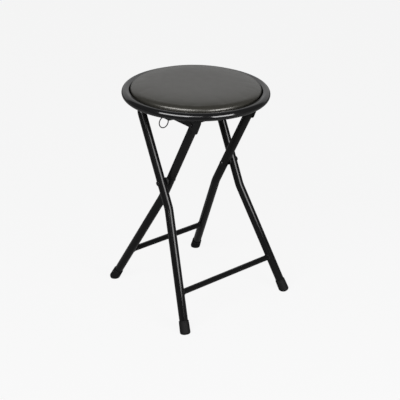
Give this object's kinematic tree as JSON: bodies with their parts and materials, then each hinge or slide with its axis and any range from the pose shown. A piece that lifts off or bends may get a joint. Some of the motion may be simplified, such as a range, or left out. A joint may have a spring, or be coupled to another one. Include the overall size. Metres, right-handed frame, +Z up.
{
  "type": "folding stool",
  "caption": "Low round folding stool: padded black seat with a raised rim on two crossed, bent tube frames with rubber feet, stretchers and a sprung hook with a pull ring under the seat.",
  "frame": {"origin": "on the floor, under the middle of the round seat", "axes": "+Z up; X along the fold, with the inner frame's feet at -X and the seat's hinge at +X; the pull ring is at the -Y side"},
  "size_m": [0.3, 0.3, 0.4674],
  "materials": {
    "painted_steel": "satin black powder coat",
    "gloss_rim": "gloss black coat",
    "black_rubber": "matte",
    "black_vinyl": "soft sheen, fine grain",
    "pale_foam": "open-cell foam, matte",
    "board_wood": "raw pressed board",
    "dark_zinc": "blackened zinc",
    "nylon": "matte",
    "spring_steel": "bright wire"
  },
  "bodies": {
    "inner_frame": {"inner_leg_near": "painted_steel", "inner_leg_far": "painted_steel", "inner_foot_near": "black_rubber", "inner_foot_far": "black_rubber", "inner_stretcher": "painted_steel", "seat_hinge_rivet_near": "dark_zinc", "seat_hinge_rivet_far": "dark_zinc"},
    "outer_frame": {"outer_frame_tube": "painted_steel", "outer_stretcher": "painted_steel", "outer_foot_near": "black_rubber", "outer_foot_far": "black_rubber", "pivot_rivet_near": "dark_zinc", "pivot_rivet_far": "dark_zinc", "pivot_spacer_near": "nylon", "pivot_spacer_far": "nylon"},
    "seat": {"seat_rim": "gloss_rim", "seat_board": "board_wood", "seat_foam": "pale_foam", "seat_cover": "black_vinyl", "seat_rail_near": "painted_steel", "seat_rail_far": "painted_steel", "rail_screw_near_1": "dark_zinc", "rail_screw_near_2": "dark_zinc", "rail_screw_near_3": "dark_zinc", "rail_screw_far_1": "dark_zinc", "rail_screw_far_2": "dark_zinc", "rail_screw_far_3": "dark_zinc", "latch_pin_1": "dark_zinc", "latch_pin_2": "dark_zinc", "latch_spring": "spring_steel"},
    "latch": {"latch_hook": "painted_steel"},
    "ring": {"pull_ring": "dark_zinc"}
  },
  "joints": [
    {"name": "frame_fold", "type": "hinge", "parent": "inner_frame", "child": "outer_frame", "pos_m": [0.009, 0, 0.277], "axis": [0, 1, 0], "range_deg": [0, 42]},
    {"name": "seat_fold", "type": "hinge", "parent": "inner_frame", "child": "seat", "pos_m": [0.08698, 0, 0.42197], "axis": [0, 1, 0], "range_deg": [0, 118]},
    {"name": "latch_slide", "type": "slide", "parent": "seat", "child": "latch", "axis": [-0.9999, 0, 0.0157], "range_m": [0, 0.008], "stiffness_N_per_m": 300, "springref_m": -0.004, "deforming": ["latch_spring"]},
    {"name": "ring_swing", "type": "hinge", "parent": "latch", "child": "ring", "pos_m": [-0.00044, -0.0818, 0.41267], "axis": [0, 1, 0], "range_deg": [-75, 85]}
  ],
  "couplings": [
    {"joint": "seat_fold", "follows": "frame_fold", "ratio": 2.8}
  ]
}
